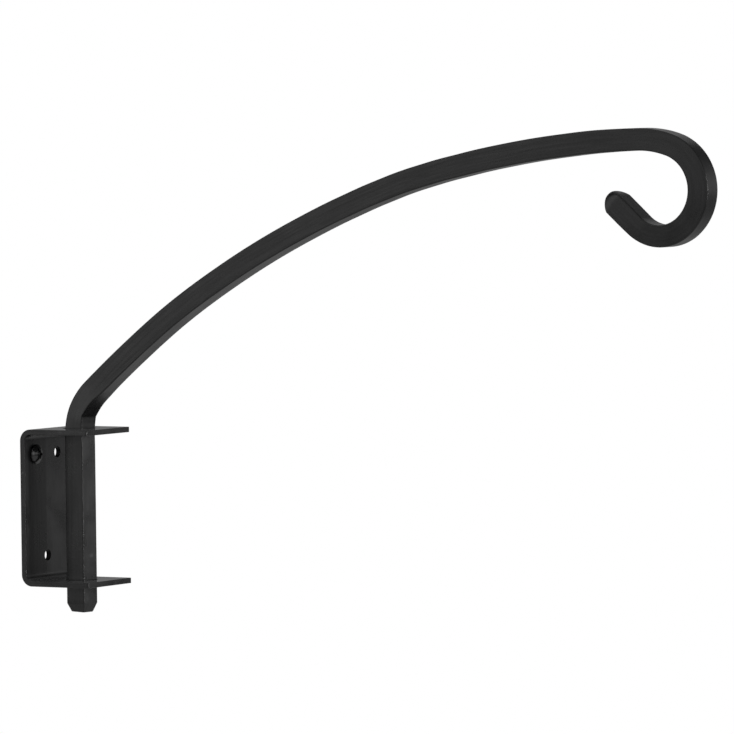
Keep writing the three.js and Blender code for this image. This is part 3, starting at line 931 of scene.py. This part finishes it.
def floor():
    """A pale round floor, in rings of (r cos angle, r sin angle). Its middle is paint that keeps the shadow.
    Further out it turns as white as the background to the camera, and to its own plain level in
    reflections, which also see the paint darker."""
    angle = np.linspace(0, 2 * np.pi, FLOOR_POINTS, endpoint=False)
    r = FLOOR_RADII[:, None]
    rings = np.stack([r * np.cos(angle), r * np.sin(angle), 0 * r * angle], -1)
    number = np.arange(rings[..., 0].size).reshape(rings.shape[:2])
    points = np.concatenate([rings.reshape(-1, 3), [[0, 0, 0]]]) + np.array(FLOOR_CENTRE)
    quads = ring_quads(number[:-1], number[1:])[:, ::-1]
    middle = np.stack([number[0], np.roll(number[0], -1), np.full_like(number[0], number.size)], 1)
    mesh = bpy.data.meshes.new("pale_floor")
    mesh.from_pydata(points.tolist(), [], quads.tolist() + middle.tolist())
    mesh.update()
    disc = bpy.data.objects.new("pale_floor", mesh)
    bpy.context.scene.collection.objects.link(disc)
    material = bpy.data.materials.new("pale_floor")
    material.use_nodes = True
    tree = material.node_tree
    tree.nodes.clear()
    paint = tree.nodes.new("ShaderNodeBsdfDiffuse")
    white = tree.nodes.new("ShaderNodeEmission")
    from_centre = vector_maths(tree, "SUBTRACT", object_place(tree), FLOOR_CENTRE).outputs[0]
    reach = vector_maths(tree, "LENGTH", from_centre).outputs["Value"]
    seen, mirrored = seen_and_mirrored(tree)
    feed(tree, paint.inputs["Color"], ranged(tree, mirrored, 0, 1, FLOOR_PAINT, MIRRORED_PAINT, "LINEAR"))
    feed(tree, white.inputs["Strength"], ranged(tree, mirrored, 0, 1, 1.0, FLOOR_LEVEL, "LINEAR"))
    watched = maths(tree, "MAXIMUM", seen, mirrored)
    mix = tree.nodes.new("ShaderNodeMixShader")
    feed(tree, mix.inputs[0], maths(tree, "MULTIPLY", watched, ranged(tree, reach, *WHITE_FROM)))
    feed(tree, mix.inputs[1], paint.outputs[0])
    feed(tree, mix.inputs[2], white.outputs[0])
    feed(tree, tree.nodes.new("ShaderNodeOutputMaterial").inputs["Surface"], mix.outputs[0])
    mesh.materials.append(material)


def studio_world():
    """White to the camera, and a plain level as light. Reflections see a dim backdrop behind the hanger and
    a paler room elsewhere, as a band at the horizon that fades with height to a low share of itself."""
    world = bpy.data.worlds.new("studio")
    bpy.context.scene.world = world
    world.use_nodes = True
    tree = world.node_tree
    tree.nodes.clear()
    way = tree.nodes.new("ShaderNodeTexCoord").outputs["Generated"]
    split = tree.nodes.new("ShaderNodeSeparateXYZ")
    feed(tree, split.inputs[0], way)
    low, high = np.sin(np.radians(HORIZON_FADE)).tolist()
    band = ranged(tree, split.outputs["Z"], low, high, 1.0, OVERHEAD_SHARE)
    facing = vector_maths(tree, "DOT_PRODUCT", way, BACKDROP_WAY).outputs["Value"]
    level = ranged(tree, facing, *BACKDROP_FADE, ROOM_LEVEL, BACKDROP_LEVEL)
    seen, mirrored = seen_and_mirrored(tree)
    reflected = maths(tree, "MULTIPLY", band, level)
    lit = ranged(tree, mirrored, 0, 1, FILL_LEVEL, reflected, "LINEAR")
    back = tree.nodes.new("ShaderNodeBackground")
    back.inputs["Color"].default_value = (1, 1, 1, 1)
    feed(tree, back.inputs["Strength"], ranged(tree, seen, 0, 1, lit, 1.0, "LINEAR"))
    feed(tree, tree.nodes.new("ShaderNodeOutputWorld").inputs["Surface"], back.outputs[0])


def soft_lamp(name, azimuth, elevation, distance, width, height, power):
    """An area lamp that faces the middle of the hanger. It stands at distance times
    (cos elevation cos azimuth, cos elevation sin azimuth, sin elevation) from there."""
    turn, rise = np.radians([azimuth, elevation])
    way = np.array([np.cos(rise) * np.cos(turn), np.cos(rise) * np.sin(turn), np.sin(rise)])
    lamp = bpy.data.lights.new(name, "AREA")
    lamp.shape = "RECTANGLE"
    lamp.size, lamp.size_y = width, height
    lamp.energy = power
    holder = bpy.data.objects.new(name, lamp)
    bpy.context.scene.collection.objects.link(holder)
    holder.location = (np.array(LAMP_TARGET) + distance * way).tolist()
    holder.rotation_mode = "QUATERNION"
    holder.rotation_quaternion = Vector((-way).tolist()).to_track_quat("-Z", "Y")
    holder.visible_camera = False


# Camera: places and focal length in pixels of the photograph's frame, sensor in millimetres, turns in
# degrees and depth in metres

FRAME_PIXELS = 734
AXIS_PIXEL = (80.365, 506.495)
FOCAL_PIXELS = 7242.0
SENSOR_WIDTH = 36.0
CAMERA_TURN, CAMERA_PITCH, CAMERA_ROLL = np.radians([31.067, 2.615, 0.667])
AXIS_DEPTH = 4.01336


def photo_camera():
    """The camera that takes the photograph's view. The bar's axis at the bracket's mid-height shows at
    AXIS_PIXEL and lies AXIS_DEPTH along the view."""
    side = np.array([np.cos(CAMERA_TURN), np.sin(CAMERA_TURN), 0])
    flat = np.array([-np.sin(CAMERA_TURN), np.cos(CAMERA_TURN), 0])
    up = np.array([0, 0, 1.0])
    ahead = np.cos(CAMERA_PITCH) * flat - np.sin(CAMERA_PITCH) * up
    down = -(np.sin(CAMERA_PITCH) * flat + np.cos(CAMERA_PITCH) * up)
    right = np.cos(CAMERA_ROLL) * side + np.sin(CAMERA_ROLL) * down
    below = -np.sin(CAMERA_ROLL) * side + np.cos(CAMERA_ROLL) * down
    shown = (np.array(AXIS_PIXEL) - FRAME_PIXELS / 2) / FOCAL_PIXELS
    axis = np.array([BAR_AXIS_X * MM, 0, 0])
    place = axis - AXIS_DEPTH * (shown[0] * right + shown[1] * below + ahead)
    camera = bpy.data.cameras.new("photo_view")
    camera.sensor_width = SENSOR_WIDTH
    camera.lens = SENSOR_WIDTH * FOCAL_PIXELS / FRAME_PIXELS
    holder = bpy.data.objects.new("photo_view", camera)
    bpy.context.scene.collection.objects.link(holder)
    turn = Matrix(np.stack([right, -below, -ahead], axis=1).tolist()).to_4x4()
    holder.matrix_world = Matrix.Translation(place.tolist()) @ turn
    bpy.context.scene.camera = holder


bracket = wall_bracket()
arm = hanger_arm()
screw = mounting_screw()
relief, dust = coat_relief_group(), dust_group()
coat = powder_coat(relief, edge_wear_group(), streaks_group(), dust, rubbed_spot_group())
bracket.data.materials.append(coat)
arm.data.materials.append(coat)
screw.data.materials.append(gloss_black(relief, dust))
floor()
studio_world()
for lamp_name, lamp_values in LAMPS.items():
    soft_lamp(lamp_name, *lamp_values)
photo_camera()
bpy.context.scene.view_settings.view_transform = "Standard"
